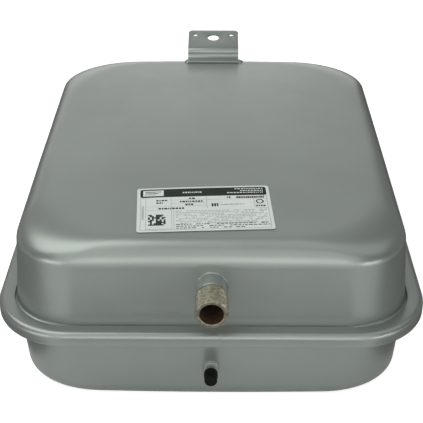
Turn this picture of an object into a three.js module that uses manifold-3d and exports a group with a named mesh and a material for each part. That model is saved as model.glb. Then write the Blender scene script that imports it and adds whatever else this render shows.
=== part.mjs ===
// Flat rectangular diaphragm expansion vessel for a heating circuit.
// Millimetres, +Z up. The vessel lies on the flat bottom of its gas shell, whose centre is the origin.
// The water nipple and the charging valve face -Y, and the hanging bracket is at the +Y end.
import * as THREE from "three";
import { mergeVertices } from "three/addons/utils/BufferGeometryUtils.js";
import Module from "manifold-3d";

const wasm = await Module();
wasm.setup();

// ---------------------------------------------------------------- driving dimensions

const WIDTH = 360; // over the clench ring, along X
const LENGTH = 437; // over the clench ring, along Y
const CORNER = 64.5; // outer corner radius of the clench ring, in plan
const SHEET = 1.5; // steel of the shells and of the ring
const GAP = 0.3; // clearance between pieces that touch

const RING_HALF_HEIGHT = 6.4;
const RING_LIP = 13.6; // how far the ring's lips reach in from its outer face
const RING_LIP_DROP = 0.6; // the lips lean towards the joint at their inner edge
const RING_TOP_RADIUS = 5;
const RING_BOTTOM_RADIUS = 2;

const FLANGE_INSET = 3.2; // edge of the shell flanges, in from the ring's outer face
const FLANGE_TOP = 3.9; // outer face of each flange, from the joint plane
const ROOT_RADIUS = 2; // bend between flange and wall
const WALL_INSET = 14.9; // outer face of the shell wall at its root
const WALL_CORNER = 53.8; // corner radius of the wall, in plan
const WALL_DRAFT = 3.5; // how far the wall leans in, from root to shoulder

// Each shell: depth beyond the ring, shoulder radius, and the plan of its flat end.
const WATER = { depth: 70, shoulder: 19, corner: 79, bow: 9, crown: 4.1 };
const GAS = { depth: 73, shoulder: 22, corner: 76, bow: 12, crown: 0 };

const JOINT_Z = GAS.depth + RING_HALF_HEIGHT; // height of the plane where the shells meet

const RUBBER = 2; // diaphragm thickness
const BEAD_HALF = 2; // half thickness of the diaphragm's clamped bead
const SKIRT_GAP = 0.8; // the skirt's clearance to the water shell
const CROWN_MARGIN = 4; // how far the crown stays inside the shell's flat end

const NIPPLE = { x: 1.3, height: 42, crest: 13.2, root: 12.1, shank: 12.5, bore: 9.35, reach: 38, threaded: 23.3, inside: 1.1 };
const NIPPLE_WELD = { width: 0.8, height: 0.9 };
const THREAD_PITCH = 1.814; // G 3/4

const VALVE = { x: 0.4, height: -39.3, foot: 6.4, footThickness: 1.8, stem: 3.85, stemEnd: 14.7, bore: 2.6, spigot: 4.5 };
const VALVE_WELD = { width: 0.7, height: 0.9 };
const CAP = { radius: 5.75, tipRadius: 5.25, start: 8, end: 19.1, bore: 4.2, endWall: 2.4 };

const BRACKET = {
  x: -0.6,
  width: 55.6,
  sheet: 1.6,
  front: 178.5, // Y of the foot's front edge
  foot: 14, // length of the foot
  rise: 9.8, // foot's upper face to the tab's upper face
  tab: 36.8, // length of the tab beyond the riser
  tilt: THREE.MathUtils.degToRad(10), // the tab climbs towards its free end
  bend: 5, // outer radius of both bends
  corner: 4.4,
  slotHole: { radius: 6.4, fromEnd: 15.4 },
  screwHole: { radius: 2.5, fromEnd: 9.6, halfPitch: 20.1 },
  weld: { left: 4.2, right: 6, halfLength: 5.4, height: 2 }, // each foot weld's reach, length and height
};

const LABEL = { width: 111.7, length: 68, thickness: 0.3, x: -5.5, y: -139.7, turn: THREE.MathUtils.degToRad(3.25) };

const CORNER_STEPS = 6;
const SIDE_STEPS = 3;
const SHOULDER_STEPS = 4;

// ---------------------------------------------------------------- materials

const paint = { color: 0x8a958d, roughness: 0.38, metalness: 0.35 };
const looks = {
  paint,
  zinc: { color: 0xa09a86, roughness: 0.42, metalness: 0.9 },
  brass: { color: 0xb5964f, roughness: 0.35, metalness: 0.9 },
  spring: { color: 0xb8b8b4, roughness: 0.3, metalness: 0.95 },
  rubber: { color: 0x1d1d1c, roughness: 0.75, metalness: 0 },
  cap: { color: 0x191c19, roughness: 0.5, metalness: 0 },
  label: { color: 0xd9dfda, roughness: 0.45, metalness: 0 },
};

const vessel = new THREE.Group();

function add(name, geometry, look, parent = vessel) {
  const mesh = new THREE.Mesh(geometry, new THREE.MeshStandardMaterial(looks[look]));
  mesh.name = name;
  parent.add(mesh);
  return mesh;
}

// ---------------------------------------------------------------- solids

function solid(geometry) {
  const bare = new THREE.BufferGeometry();
  bare.setAttribute("position", geometry.getAttribute("position"));
  bare.setIndex(geometry.index);
  const merged = mergeVertices(bare, 1e-4);
  return new wasm.Manifold(
    new wasm.Mesh({
      numProp: 3,
      vertProperties: new Float32Array(merged.attributes.position.array),
      triVerts: new Uint32Array(merged.index.array),
    }),
  );
}

function geometryOf(manifold) {
  const mesh = manifold.getMesh();
  const geometry = new THREE.BufferGeometry();
  geometry.setAttribute("position", new THREE.BufferAttribute(mesh.vertProperties, 3));
  geometry.setIndex(new THREE.BufferAttribute(mesh.triVerts, 1));
  return geometry;
}

function turned(profile, segments = 24) {
  const points = profile.map(([radius, along]) => new THREE.Vector2(radius, along));
  return new THREE.LatheGeometry(points, segments);
}

// Extrudes a side view, drawn as (Y, Z), along X and centres it on X.
function alongX(shape, width) {
  const axes = new THREE.Matrix4().makeBasis(
    new THREE.Vector3(0, 1, 0),
    new THREE.Vector3(0, 0, 1),
    new THREE.Vector3(1, 0, 0),
  );
  const bar = new THREE.ExtrudeGeometry(shape, { depth: width, bevelEnabled: false });
  return bar.applyMatrix4(axes).translate(-width / 2, 0, 0);
}

// A closed outline in plan: a rounded rectangle whose corners are pulled in by `bow`,
// so that its sides swell outwards.
function outline({ inset, corner, bow = 0, scale = 1, z }) {
  const halfX = WIDTH / 2 - inset;
  const halfY = LENGTH / 2 - inset;
  const plain = [];
  const quarters = [
    [1, 1],
    [-1, 1],
    [-1, -1],
    [1, -1],
  ];
  for (const [quarter, [sideX, sideY]] of quarters.entries()) {
    for (let step = 0; step <= CORNER_STEPS; step++) {
      const angle = (quarter + step / CORNER_STEPS) * (Math.PI / 2);
      const x = sideX * (halfX - corner) + corner * Math.cos(angle);
      const y = sideY * (halfY - corner) + corner * Math.sin(angle);
      plain.push(new THREE.Vector2(x, y));
    }
  }
  const points = [];
  for (const [index, point] of plain.entries()) {
    points.push(point);
    if ((index + 1) % (CORNER_STEPS + 1) !== 0) continue;
    const next = plain[(index + 1) % plain.length];
    for (let step = 1; step < SIDE_STEPS; step++) {
      points.push(point.clone().lerp(next, step / SIDE_STEPS));
    }
  }
  return points.map(({ x, y }) => {
    const acrossX = Math.abs(x) / halfX;
    const acrossY = Math.abs(y) / halfY;
    const bowedX = x - bow * Math.sign(x) * acrossY ** 2 * acrossX ** 4;
    const bowedY = y - bow * Math.sign(y) * acrossX ** 2 * acrossY ** 4;
    return new THREE.Vector3(bowedX * scale, bowedY * scale, z);
  });
}

// Joins loops of equal count into a closed surface: end to end, or with a fan to each apex.
function loft(loops, apexes) {
  const count = loops[0].length;
  const positions = loops.flat().flatMap((point) => point.toArray());
  const indices = [];
  const spans = apexes ? loops.length - 1 : loops.length;
  for (let row = 0; row < spans; row++) {
    const next = (row + 1) % loops.length;
    for (let step = 0; step < count; step++) {
      const a = row * count + step;
      const b = next * count + step;
      const c = next * count + ((step + 1) % count);
      const d = row * count + ((step + 1) % count);
      indices.push(a, b, c, a, c, d);
    }
  }
  if (apexes) {
    const first = positions.length / 3;
    positions.push(...apexes[0].toArray(), ...apexes[1].toArray());
    const lastRow = (loops.length - 1) * count;
    for (let step = 0; step < count; step++) {
      const next = (step + 1) % count;
      indices.push(first, step, next);
      indices.push(first + 1, lastRow + next, lastRow + step);
    }
  }
  const geometry = new THREE.BufferGeometry();
  geometry.setAttribute("position", new THREE.Float32BufferAttribute(positions, 3));
  geometry.setIndex(indices);
  return geometry;
}

// ---------------------------------------------------------------- shells

// The domed end: highest in the middle, level at the edge of the flat end.
function crownHeight(shell, x, y) {
  const halfX = WIDTH / 2 - WALL_INSET - WALL_DRAFT - shell.shoulder;
  const halfY = LENGTH / 2 - WALL_INSET - WALL_DRAFT - shell.shoulder;
  const acrossX = Math.min(Math.abs(x) / halfX, 1);
  const acrossY = Math.min(Math.abs(y) / halfY, 1);
  return shell.crown * (1 - acrossX ** 2) * (1 - acrossY ** 2);
}

function shoulderStart(shell) {
  return RING_HALF_HEIGHT + shell.depth - shell.shoulder;
}

// The shoulder and the flat end of a shell, from the middle out, `within` millimetres inside its outer face.
function endLoops(shell, within, { margin = 0, steps = SHOULDER_STEPS, scales = shell.crown ? [0.3, 0.6, 0.85] : [] } = {}) {
  const radius = shell.shoulder - within;
  const section = (turn, scale) => {
    const part = 1 - Math.cos(turn);
    const loop = outline({
      inset: WALL_INSET + WALL_DRAFT + within + radius * part + margin,
      corner: WALL_CORNER + (shell.corner - WALL_CORNER) * part,
      bow: shell.bow * part,
      scale,
      z: shoulderStart(shell) + radius * Math.sin(turn),
    });
    for (const point of loop) point.z += crownHeight(shell, point.x, point.y) * Math.sin(turn);
    return loop;
  };
  const loops = scales.map((scale) => section(Math.PI / 2, scale));
  for (let step = steps; step >= 0; step--) {
    loops.push(section((step / steps) * (Math.PI / 2), 1));
  }
  return loops;
}

// The bend from the wall's foot out into the flange.
function rootLoops(within) {
  const radius = ROOT_RADIUS + within;
  const loops = [];
  for (let step = 3; step >= 0; step--) {
    const turn = (step / 3) * (Math.PI / 2);
    loops.push(
      outline({
        inset: WALL_INSET - ROOT_RADIUS + radius * Math.sin(turn),
        corner: WALL_CORNER + 1,
        z: FLANGE_TOP + ROOT_RADIUS - radius * Math.cos(turn),
      }),
    );
  }
  return loops;
}

function flangeEdge(z) {
  return outline({ inset: FLANGE_INSET, corner: CORNER - FLANGE_INSET, z });
}

function apexOf(shell, within) {
  return new THREE.Vector3(0, 0, RING_HALF_HEIGHT + shell.depth + shell.crown - within);
}

// One pressed half without its flange: outer skin from the middle to the foot, then the inner skin back again.
function dish(shell) {
  const skin = [...endLoops(shell, 0), ...rootLoops(0)];
  const lining = [...endLoops(shell, SHEET), ...rootLoops(SHEET)].reverse();
  return loft([...skin, ...lining], [apexOf(shell, 0), apexOf(shell, SHEET)]);
}

// The flange that carries on outwards from a shell's foot, level with the joint. It is a piece of its own,
// which keeps the recess between wall and ring clear of both shapes.
function flange() {
  const foot = { inset: WALL_INSET - ROOT_RADIUS - GAP, corner: WALL_CORNER + 1 + GAP };
  return loft([
    outline({ ...foot, z: FLANGE_TOP }),
    flangeEdge(FLANGE_TOP),
    flangeEdge(FLANGE_TOP - SHEET),
    outline({ ...foot, z: FLANGE_TOP - SHEET }),
  ]);
}

// The space that a shell fills, for trimming what is welded to it.
function plug(shell) {
  const foot = outline({ inset: WALL_INSET, corner: WALL_CORNER, z: 0 });
  const base = new THREE.Vector3(0, 0, 0);
  return solid(loft([...endLoops(shell, 0), ...rootLoops(0).slice(0, 1), foot], [apexOf(shell, 0), base]));
}

// Outer face of a shell's front wall at a height above the joint plane.
function wallY(shell, height) {
  const start = FLANGE_TOP + ROOT_RADIUS;
  const along = (Math.abs(height) - start) / (shoulderStart(shell) - start);
  return -LENGTH / 2 + WALL_INSET + WALL_DRAFT * along;
}

function wallHole(radius, x, y, z) {
  return solid(new THREE.CylinderGeometry(radius, radius, 20, 32).translate(x, y, z));
}

const nippleY = wallY(WATER, NIPPLE.height);
const valveY = wallY(GAS, VALVE.height);

const waterShell = solid(dish(WATER)).subtract(wallHole(NIPPLE.shank + GAP, NIPPLE.x, nippleY, NIPPLE.height));
add("water_shell", geometryOf(waterShell), "paint").position.z = JOINT_Z;
add("water_flange", flange(), "paint").position.z = JOINT_Z;

// The gas shell is pressed the same way up and then turned over about the X axis.
const gasShell = solid(dish(GAS)).subtract(wallHole(VALVE.spigot + GAP, VALVE.x, -valveY, -VALVE.height));
const gasMesh = add("gas_shell", geometryOf(gasShell), "paint");
gasMesh.rotation.x = Math.PI;
gasMesh.position.z = JOINT_Z;
const gasFlange = add("gas_flange", flange(), "paint");
gasFlange.rotation.x = Math.PI;
gasFlange.position.z = JOINT_Z;

// ---------------------------------------------------------------- clench ring

// A bend of the ring's section as [inset, height] points, `within` millimetres inside its outer face.
function ringBend(side, within) {
  const radius = side > 0 ? RING_TOP_RADIUS : RING_BOTTOM_RADIUS;
  const height = side * (RING_HALF_HEIGHT - radius);
  const points = [];
  const steps = side > 0 ? 4 : 2;
  const reach = radius - within;
  for (let step = 0; step <= steps; step++) {
    const turn = (step / steps) * (Math.PI / 2);
    points.push([radius - reach * Math.sin(turn), height + side * reach * Math.cos(turn)]);
  }
  return side > 0 ? points : points.reverse();
}

// One face of the ring's C section, from the upper lip round to the lower lip.
function ringFace(within) {
  const lipZ = RING_HALF_HEIGHT - RING_LIP_DROP - within;
  return [[RING_LIP, lipZ], ...ringBend(1, within), ...ringBend(-1, within), [RING_LIP, -lipZ]];
}

const ringSection = [...ringFace(0), ...ringFace(SHEET).reverse()];
const ringLoops = ringSection.map(([inset, z]) => outline({ inset, corner: CORNER - inset, z }));
add("clench_ring", loft(ringLoops), "paint").position.z = JOINT_Z;

// The ring's closing weld runs over its face at the front, just off the middle.
const SEAM = { width: 3, x: 8, thickness: 0.5 };
const seamRun = (distance) =>
  [...ringBend(1, -distance), ...ringBend(-1, -distance)].map(([inset, z]) => new THREE.Vector2(inset, z));
const seamShape = new THREE.Shape([...seamRun(GAP + SEAM.thickness), ...seamRun(GAP).reverse()]);
const seam = alongX(seamShape, SEAM.width).translate(SEAM.x, -LENGTH / 2, 0);
add("clench_ring_weld", seam, "paint").position.z = JOINT_Z;

// ---------------------------------------------------------------- diaphragm

// The skirt hangs from its bead, which the flanges clamp, and lines the wall of the water shell.
function skirtFace(within, beadZ) {
  const wall = SHEET + SKIRT_GAP + within;
  const shoulder = endLoops(WATER, wall, { scales: [], steps: 3 });
  const foot = outline({ inset: WALL_INSET + wall + 0.4, corner: WALL_CORNER, z: FLANGE_TOP + 6 });
  const web = outline({ inset: WALL_INSET + wall - 0.2, corner: WALL_CORNER, z: beadZ });
  return [...shoulder, foot, web];
}

const beadLoops = [
  [11, 1],
  [9.5, BEAD_HALF],
  [4, BEAD_HALF],
  [2.6, 0],
  [4, -BEAD_HALF],
  [9.5, -BEAD_HALF],
].map(([inset, z]) => outline({ inset, corner: CORNER - inset, z }));
const skirt = loft([...skirtFace(0, 1), ...beadLoops, ...skirtFace(RUBBER, 1 - RUBBER).reverse()]);
add("diaphragm_skirt", skirt, "rubber").position.z = JOINT_Z;

function crownFace(within) {
  return endLoops(WATER, SHEET + SKIRT_GAP + within, { margin: CROWN_MARGIN, scales: [0.5, 1], steps: 0 }).slice(0, 2);
}

const crownApexes = [0, RUBBER].map((within) => apexOf(WATER, SHEET + SKIRT_GAP + within));
const crown = loft([...crownFace(0), ...crownFace(RUBBER).reverse()], crownApexes);
add("diaphragm_crown", crown, "rubber").position.z = JOINT_Z;

// ---------------------------------------------------------------- water nipple

// Fittings on the front are turned about an axis that leaves the wall along -Y.
function frontGroup(x, y, height) {
  const group = new THREE.Group();
  group.position.set(x, y, JOINT_Z + height);
  group.rotation.z = Math.PI;
  vessel.add(group);
  return group;
}

function nippleProfile() {
  const { crest, root, shank, bore, reach, threaded, inside } = NIPPLE;
  const start = reach - threaded;
  const outer = [
    [bore, -inside],
    [shank, -inside],
    [shank, start - 0.6],
    [root, start],
  ];
  const turns = Math.floor((threaded - 2) / THREAD_PITCH);
  for (let turn = 0; turn < turns; turn++) {
    outer.push([crest, start + (turn + 0.5) * THREAD_PITCH]);
    outer.push([root, start + (turn + 1) * THREAD_PITCH]);
  }
  return [...outer, [crest - 0.2, reach - 1], [crest - 1, reach], [bore, reach], [bore, -inside]];
}

const nippleGroup = frontGroup(NIPPLE.x, nippleY, NIPPLE.height);
add("water_nipple", turned(nippleProfile(), 28), "zinc", nippleGroup);

// A weld fillet round a fitting. It leans with the wall it sits on, and is trimmed back clear of it.
function weldRing(inner, { width, height }, shell, space, fitting) {
  const y = wallY(shell, fitting.height);
  const lean = wallY(shell, fitting.height + 1) - y;
  const ring = turned(
    [
      [inner, -1.5],
      [inner + width, -1.5],
      [inner + width, 0.4],
      [inner + width * 0.7, height * 0.6],
      [inner + width * 0.25, height],
      [inner, height],
      [inner, -1.5],
    ],
    28,
  );
  ring.rotateZ(Math.PI).applyMatrix4(new THREE.Matrix4().makeShear(0, 0, 0, 0, 0, lean));
  ring.translate(fitting.x, y, fitting.height);
  return solid(ring).subtract(space.translate([0, -GAP, 0]));
}

const nippleWeld = weldRing(NIPPLE.shank + GAP, NIPPLE_WELD, WATER, plug(WATER), NIPPLE);
add("nipple_weld", geometryOf(nippleWeld), "paint").position.z = JOINT_Z;

// ---------------------------------------------------------------- charging valve

const valveGroup = frontGroup(VALVE.x, valveY, VALVE.height);
const footBack = 0.8; // the foot's flat back stands just off the leaning wall

const bodyProfile = [
  [1.5, -2.5],
  [VALVE.spigot, -2.5],
  [VALVE.spigot, footBack],
  [VALVE.foot, footBack],
  [VALVE.foot, footBack + VALVE.footThickness - 0.5],
  [VALVE.foot - 0.5, footBack + VALVE.footThickness],
  [VALVE.stem + 0.6, footBack + VALVE.footThickness],
  [VALVE.stem, footBack + VALVE.footThickness + 0.8],
  [VALVE.stem, VALVE.stemEnd - 0.5],
  [VALVE.stem - 0.5, VALVE.stemEnd],
  [VALVE.bore, VALVE.stemEnd],
  [VALVE.bore, 1.5],
  [1.5, 0.5],
  [1.5, -2.5],
];
add("valve_body", turned(bodyProfile), "paint", valveGroup);

const valveWeld = weldRing(VALVE.foot + GAP, VALVE_WELD, GAS, plug(GAS).rotate([180, 0, 0]), VALVE);
add("valve_weld", geometryOf(valveWeld), "paint").position.z = JOINT_Z;

// The core: a housing screwed into the stem, a sprung pin through it, and their rubber seals.
const housingProfile = [
  [0.85, 5.5],
  [1.9, 5.5],
  [2.25, 6.4],
  [2.25, 7.9],
  [1.8, 7.9],
  [1.8, 9.6],
  [2.3, 9.6],
  [2.3, 13.9],
  [1.75, 13.9],
  [1.75, 9.9],
  [0.85, 9.9],
  [0.85, 5.5],
];
add("valve_core_housing", turned(housingProfile, 20), "brass", valveGroup);

const coreGasketProfile = [
  [1.95, 8],
  [2.45, 8.3],
  [2.45, 9.2],
  [1.95, 9.5],
  [1.95, 8],
];
add("valve_core_gasket", turned(coreGasketProfile, 20), "rubber", valveGroup);

const pinProfile = [
  [0, 3.7],
  [1.6, 3.7],
  [1.6, 4.4],
  [0.5, 4.4],
  [0.5, 13.1],
  [1.3, 13.1],
  [1.3, 13.5],
  [0.5, 13.5],
  [0.5, 14.4],
  [0, 14.4],
];
add("valve_core_pin", turned(pinProfile, 16), "brass", valveGroup);

const sealProfile = [
  [0.7, 4.6],
  [1.65, 4.6],
  [1.65, 5.2],
  [0.7, 5.2],
  [0.7, 4.6],
];
add("valve_core_seal", turned(sealProfile, 16), "rubber", valveGroup);

class Coil extends THREE.Curve {
  constructor(radius, turns, start, end) {
    super();
    Object.assign(this, { radius, turns, start, end });
  }
  getPoint(t, target = new THREE.Vector3()) {
    const angle = t * this.turns * Math.PI * 2;
    const along = this.start + (this.end - this.start) * t;
    return target.set(this.radius * Math.cos(angle), along, this.radius * Math.sin(angle));
  }
}

const wire = new THREE.Shape();
wire.absarc(0, 0, 0.17, 0, Math.PI * 2);
const coreSpring = new THREE.ExtrudeGeometry(wire, {
  extrudePath: new Coil(1.12, 4, 10.25, 12.75),
  steps: 48,
  curveSegments: 3,
});
add("valve_core_spring", coreSpring, "spring", valveGroup);

const capProfile = [
  [CAP.bore, CAP.start],
  [CAP.radius, CAP.start],
  [CAP.radius, CAP.start + 5],
  [CAP.tipRadius, CAP.start + 5.4],
  [CAP.tipRadius, CAP.end - 0.8],
  [CAP.tipRadius - 0.8, CAP.end],
  [0, CAP.end],
  [0, CAP.end - CAP.endWall],
  [CAP.bore, CAP.end - CAP.endWall],
  [CAP.bore, CAP.start],
];
add("valve_cap", turned(capProfile.slice(7).concat(capProfile.slice(1, 7))), "cap", valveGroup);

const capGasketProfile = [
  [0, VALVE.stemEnd + GAP],
  [VALVE.stem, VALVE.stemEnd + GAP],
  [VALVE.stem, CAP.end - CAP.endWall - 0.2],
  [0, CAP.end - CAP.endWall - 0.2],
];
add("valve_cap_gasket", turned(capGasketProfile), "rubber", valveGroup);

// ---------------------------------------------------------------- hanging bracket

// The strap's side view as a run of bends: foot, riser, then the climbing tab.
function bracketStrap() {
  const { sheet, foot, rise, tab, tilt, bend, width } = BRACKET;
  const mid = bend - sheet / 2; // radius of both bends at the middle of the sheet
  const centre = [];
  const bendAbout = (y, z, from, to) => {
    for (let step = 0; step <= 5; step++) {
      const turn = from + (to - from) * (step / 5);
      centre.push({ y: y + mid * Math.cos(turn), z: z + mid * Math.sin(turn), turn, way: Math.sign(to - from) });
    }
  };
  const lift = rise - 2 * mid; // straight part of the riser
  const start = { y: 0, z: 0, ny: 0, nz: 1 };
  bendAbout(foot - mid, mid, -Math.PI / 2, 0);
  bendAbout(foot + mid, mid + lift, Math.PI, Math.PI / 2 + tilt);
  const faces = centre.map(({ y, z, turn, way }) => ({ y, z, ny: -way * Math.cos(turn), nz: -way * Math.sin(turn) }));
  const last = faces.at(-1);
  const end = { ...last, y: last.y + tab * Math.cos(tilt), z: last.z + tab * Math.sin(tilt) };
  const run = [start, ...faces, end];
  const side = (half) => run.map(({ y, z, ny, nz }) => new THREE.Vector2(y + ny * half, z + nz * half));
  const shape = new THREE.Shape([...side(-sheet / 2), ...side(sheet / 2).reverse()]);
  return { strap: alongX(shape, width), end };
}

const { strap, end: tabEnd } = bracketStrap();

// Tools for the tab are laid out flat, back from its free end, and then tilted with it.
function tabTool(geometry, x, fromEnd) {
  geometry.translate(x, -fromEnd, 0).rotateX(BRACKET.tilt).translate(0, tabEnd.y, tabEnd.z);
  return solid(geometry);
}

function tabHole(radius, x, fromEnd) {
  return tabTool(new THREE.CylinderGeometry(radius, radius, 12, 28).rotateX(Math.PI / 2), x, fromEnd);
}

function cornerCut(side) {
  const { corner, width } = BRACKET;
  const spare = new THREE.Shape();
  spare.moveTo(1, 1);
  spare.lineTo(-corner, 1);
  spare.lineTo(-corner, 0);
  spare.absarc(-corner, -corner, corner, Math.PI / 2, 0, true);
  spare.lineTo(1, -corner);
  spare.closePath();
  const tool = new THREE.ExtrudeGeometry(spare, { depth: 12, bevelEnabled: false, curveSegments: 5 }).translate(0, 0, -6);
  if (side < 0) tool.rotateY(Math.PI);
  return tabTool(tool, (side * width) / 2, 0);
}

const { slotHole, screwHole } = BRACKET;
const bracket = solid(strap)
  .subtract(tabHole(slotHole.radius, 0, slotHole.fromEnd))
  .subtract(tabHole(screwHole.radius, -screwHole.halfPitch, screwHole.fromEnd))
  .subtract(tabHole(screwHole.radius, screwHole.halfPitch, screwHole.fromEnd))
  .subtract(cornerCut(1))
  .subtract(cornerCut(-1));
const footZ = RING_HALF_HEIGHT + WATER.depth + GAP + crownHeight(WATER, 0, BRACKET.front);
const bracketMesh = add("mounting_bracket", geometryOf(bracket), "paint");
bracketMesh.position.set(BRACKET.x, BRACKET.front, JOINT_Z + footZ + BRACKET.sheet / 2);

// A weld bead lies along each side of the foot and fills down to the shell.
function footWeld(side, reach) {
  const { halfLength, height } = BRACKET.weld;
  const bead = new THREE.SphereGeometry(1, 16, 10).scale(reach, halfLength, height);
  bead.translate(BRACKET.x + side * (BRACKET.width / 2 - 0.4), BRACKET.front + halfLength - 0.4, footZ + 0.3);
  const keep = new THREE.BoxGeometry(10, 40, 40);
  keep.translate(BRACKET.x + side * (BRACKET.width / 2 + GAP + 5), BRACKET.front, footZ);
  return solid(bead)
    .intersect(solid(keep))
    .subtract(plug(WATER).translate([0, 0, GAP]));
}

add("bracket_weld_left", geometryOf(footWeld(-1, BRACKET.weld.left)), "paint").position.z = JOINT_Z;
add("bracket_weld_right", geometryOf(footWeld(1, BRACKET.weld.right)), "paint").position.z = JOINT_Z;

// ---------------------------------------------------------------- rating label

const label = new THREE.BoxGeometry(LABEL.width, LABEL.length, LABEL.thickness, 8, 6, 1);
label.rotateZ(LABEL.turn).translate(LABEL.x, LABEL.y, 0);
const labelPoints = label.getAttribute("position");
for (let index = 0; index < labelPoints.count; index++) {
  const rise = crownHeight(WATER, labelPoints.getX(index), labelPoints.getY(index));
  labelPoints.setZ(index, labelPoints.getZ(index) + rise);
}
const labelZ = RING_HALF_HEIGHT + WATER.depth + GAP + LABEL.thickness / 2;
add("rating_label", label, "label").position.z = JOINT_Z + labelZ;

export default vessel;
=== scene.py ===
import math
import random

import bpy
import numpy as np
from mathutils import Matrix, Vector, noise


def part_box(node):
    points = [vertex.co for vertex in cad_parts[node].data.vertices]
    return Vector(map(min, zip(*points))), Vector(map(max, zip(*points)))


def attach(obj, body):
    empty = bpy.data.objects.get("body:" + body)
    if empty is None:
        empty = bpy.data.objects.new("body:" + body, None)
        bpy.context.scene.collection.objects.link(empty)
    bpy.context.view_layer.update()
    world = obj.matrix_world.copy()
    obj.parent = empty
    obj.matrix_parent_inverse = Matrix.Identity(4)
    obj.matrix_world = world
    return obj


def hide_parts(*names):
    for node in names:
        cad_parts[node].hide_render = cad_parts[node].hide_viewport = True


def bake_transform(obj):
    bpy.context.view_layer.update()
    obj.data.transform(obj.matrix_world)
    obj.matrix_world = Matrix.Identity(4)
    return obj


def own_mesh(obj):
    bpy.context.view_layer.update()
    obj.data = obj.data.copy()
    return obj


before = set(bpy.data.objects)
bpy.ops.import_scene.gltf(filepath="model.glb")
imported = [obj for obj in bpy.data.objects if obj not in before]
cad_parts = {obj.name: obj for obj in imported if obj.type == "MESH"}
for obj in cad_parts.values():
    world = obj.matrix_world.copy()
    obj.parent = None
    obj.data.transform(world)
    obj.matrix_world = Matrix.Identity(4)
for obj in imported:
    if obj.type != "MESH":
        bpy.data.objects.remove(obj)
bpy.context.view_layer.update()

MM = 0.001


def cad(node):
    """Lowest and highest corner of a CAD node, in millimetres."""
    low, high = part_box(node)
    return np.array(low) / MM, np.array(high) / MM


RING_LOW, RING_HIGH = cad("clench_ring")
HALF_X, HALF_Y = RING_HIGH[0], RING_HIGH[1]
JOINT_Z = (RING_LOW[2] + RING_HIGH[2]) / 2
SHEET = 1.5
GAP = 0.3

RING_CORNER = 64.5
RING_HALF_HEIGHT = (RING_HIGH[2] - RING_LOW[2]) / 2
RING_LIP = 13.6
RING_LIP_DROP = 0.6
RING_TOP_RADIUS = 5
RING_BOTTOM_RADIUS = 2

FLANGE_INSET = 3.2
FLANGE_TOP = 3.9
ROOT_RADIUS = 2
WALL_INSET = 14.9
WALL_CORNER = 53.8
WALL_DRAFT = 3.5

WATER = {"depth": 70, "shoulder": 19, "corner": 79, "bow": 9, "crown": 4.1, "up": 1}
GAS = {"depth": 73, "shoulder": 22, "corner": 76, "bow": 12, "crown": 0, "up": -1}

TWO_PI = 2 * math.pi


# ---------------------------------------------------------------- meshes


def new_piece(name, points, faces, materials, body, replaces=(), crease=40, face_materials=None):
    """A piece from points in millimetres, shaded smooth up to the crease angle."""
    mesh = bpy.data.meshes.new(name)
    mesh.from_pydata((np.asarray(points, float) * MM).tolist(), [], [list(map(int, f)) for f in faces])
    mesh.validate()
    piece = bpy.data.objects.new(name, mesh)
    bpy.context.scene.collection.objects.link(piece)
    for material in materials if isinstance(materials, (list, tuple)) else [materials]:
        mesh.materials.append(material)
    if face_materials is not None:
        mesh.polygons.foreach_set("material_index", np.asarray(face_materials, np.int32))
    smooth(piece, crease)
    if body:
        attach(piece, body)
    if replaces:
        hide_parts(*replaces)
    return piece


def smooth(piece, crease):
    piece.data.shade_smooth()
    piece.data.set_sharp_from_angle(angle=math.radians(crease))


def apply_modifiers(piece):
    depsgraph = bpy.context.evaluated_depsgraph_get()
    mesh = bpy.data.meshes.new_from_object(piece.evaluated_get(depsgraph))
    piece.modifiers.clear()
    piece.data = mesh


def boolean(piece, tool, operation="DIFFERENCE"):
    modifier = piece.modifiers.new("cut", "BOOLEAN")
    modifier.operation = operation
    modifier.solver = "EXACT"
    modifier.object = tool
    apply_modifiers(piece)
    bpy.data.objects.remove(tool)


def bands(rows, count, closed, first=0):
    """Quads between neighbouring rows of `count` points each."""
    faces = []
    for row in range(rows if closed else rows - 1):
        a, b = first + row * count, first + ((row + 1) % rows) * count
        for step in range(count):
            after = (step + 1) % count
            faces.append((a + step, b + step, b + after, a + after))
    return faces


def rounded(points, radius, steps=4, closed=False, sharpest=12):
    """A polyline with each bend over `sharpest` degrees turned into a small arc."""
    points = [np.array(p, float) for p in points]
    count = len(points)
    made = []
    for index, here in enumerate(points):
        if not closed and index in (0, count - 1):
            made.append(here)
            continue
        before, after = points[index - 1] - here, points[(index + 1) % count] - here
        reach_before, reach_after = np.linalg.norm(before), np.linalg.norm(after)
        cosine = before @ after / (reach_before * reach_after)
        turn = math.degrees(math.pi - math.acos(np.clip(cosine, -1, 1)))
        if turn < sharpest:
            made.append(here)
            continue
        cut = min(radius, 0.45 * reach_before, 0.45 * reach_after)
        start, end = here + before * cut / reach_before, here + after * cut / reach_after
        for t in np.linspace(0, 1, steps + 1):
            made.append((1 - t) ** 2 * start + 2 * t * (1 - t) * here + t * t * end)
    return np.array(made)


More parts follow.
